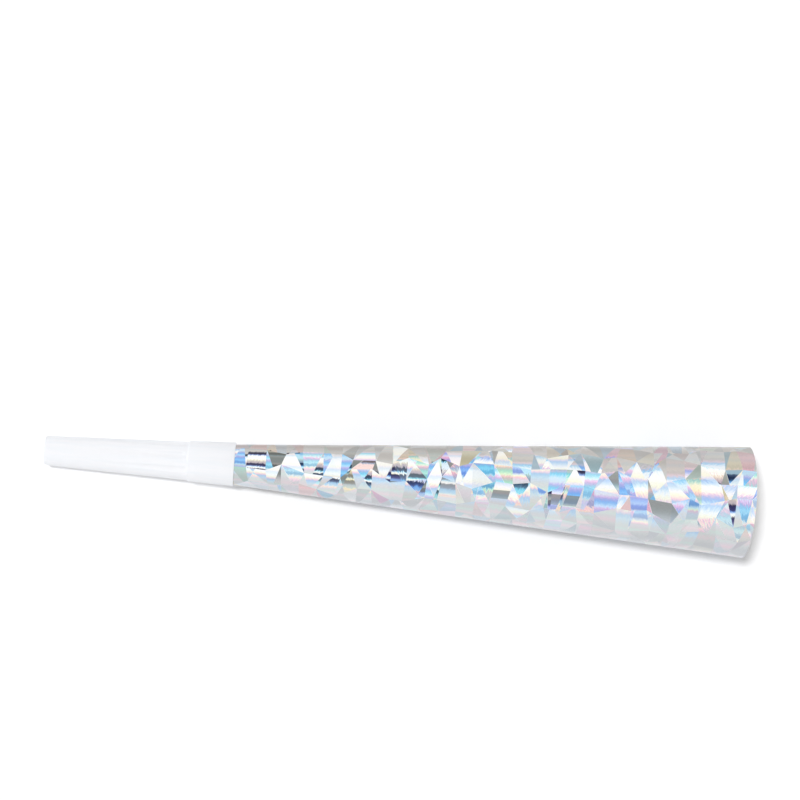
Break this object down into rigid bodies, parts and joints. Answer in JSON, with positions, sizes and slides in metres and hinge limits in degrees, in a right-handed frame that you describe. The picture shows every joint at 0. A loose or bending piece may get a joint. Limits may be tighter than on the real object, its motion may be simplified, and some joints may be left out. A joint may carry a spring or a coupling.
{
  "type": "party horn blower",
  "caption": "Toy party horn: rolled paperboard cone in cracked-ice prismatic silver film, pushed into the collar of a fluted white plastic mouthpiece with a beating reed inside.",
  "frame": {"origin": "centre of the bottom of the box, on the floor the horn lies on", "axes": "+X towards the bell, the long way of the lying horn; +Z up; +Y is up in the picture. The horn's own axis lies in the XZ plane and rises towards the bell."},
  "size_m": [0.2296, 0.0364, 0.0365],
  "materials": {
    "white_board": "uncoated",
    "prismatic_film": "holographic metallised film",
    "white_plastic": "satin moulding",
    "reed_plastic": "moulded",
    "tongue_film": "plain film"
  },
  "bodies": {
    "cone": {"paperboard_cone": "white_board", "foil_wrap": "prismatic_film"},
    "mouth_unit": {"mouthpiece": "white_plastic", "reed_plug": "reed_plastic", "reed_trough": "reed_plastic", "reed_wedge": "reed_plastic"},
    "reed": {"reed_tongue": "tongue_film"}
  },
  "joints": [
    {"name": "mouthpiece_pull", "type": "slide", "parent": "cone", "child": "mouth_unit", "axis": [-0.9982, 0, -0.0593], "range_m": [0, 0.016]},
    {"name": "reed_beat", "type": "hinge", "parent": "mouth_unit", "child": "reed", "pos_m": [-0.07335, 0.00009, 0.00737], "axis": [0, 1, 0], "range_deg": [-2.5, 2.5], "stiffness_Nm_per_rad": 0.0003}
  ]
}
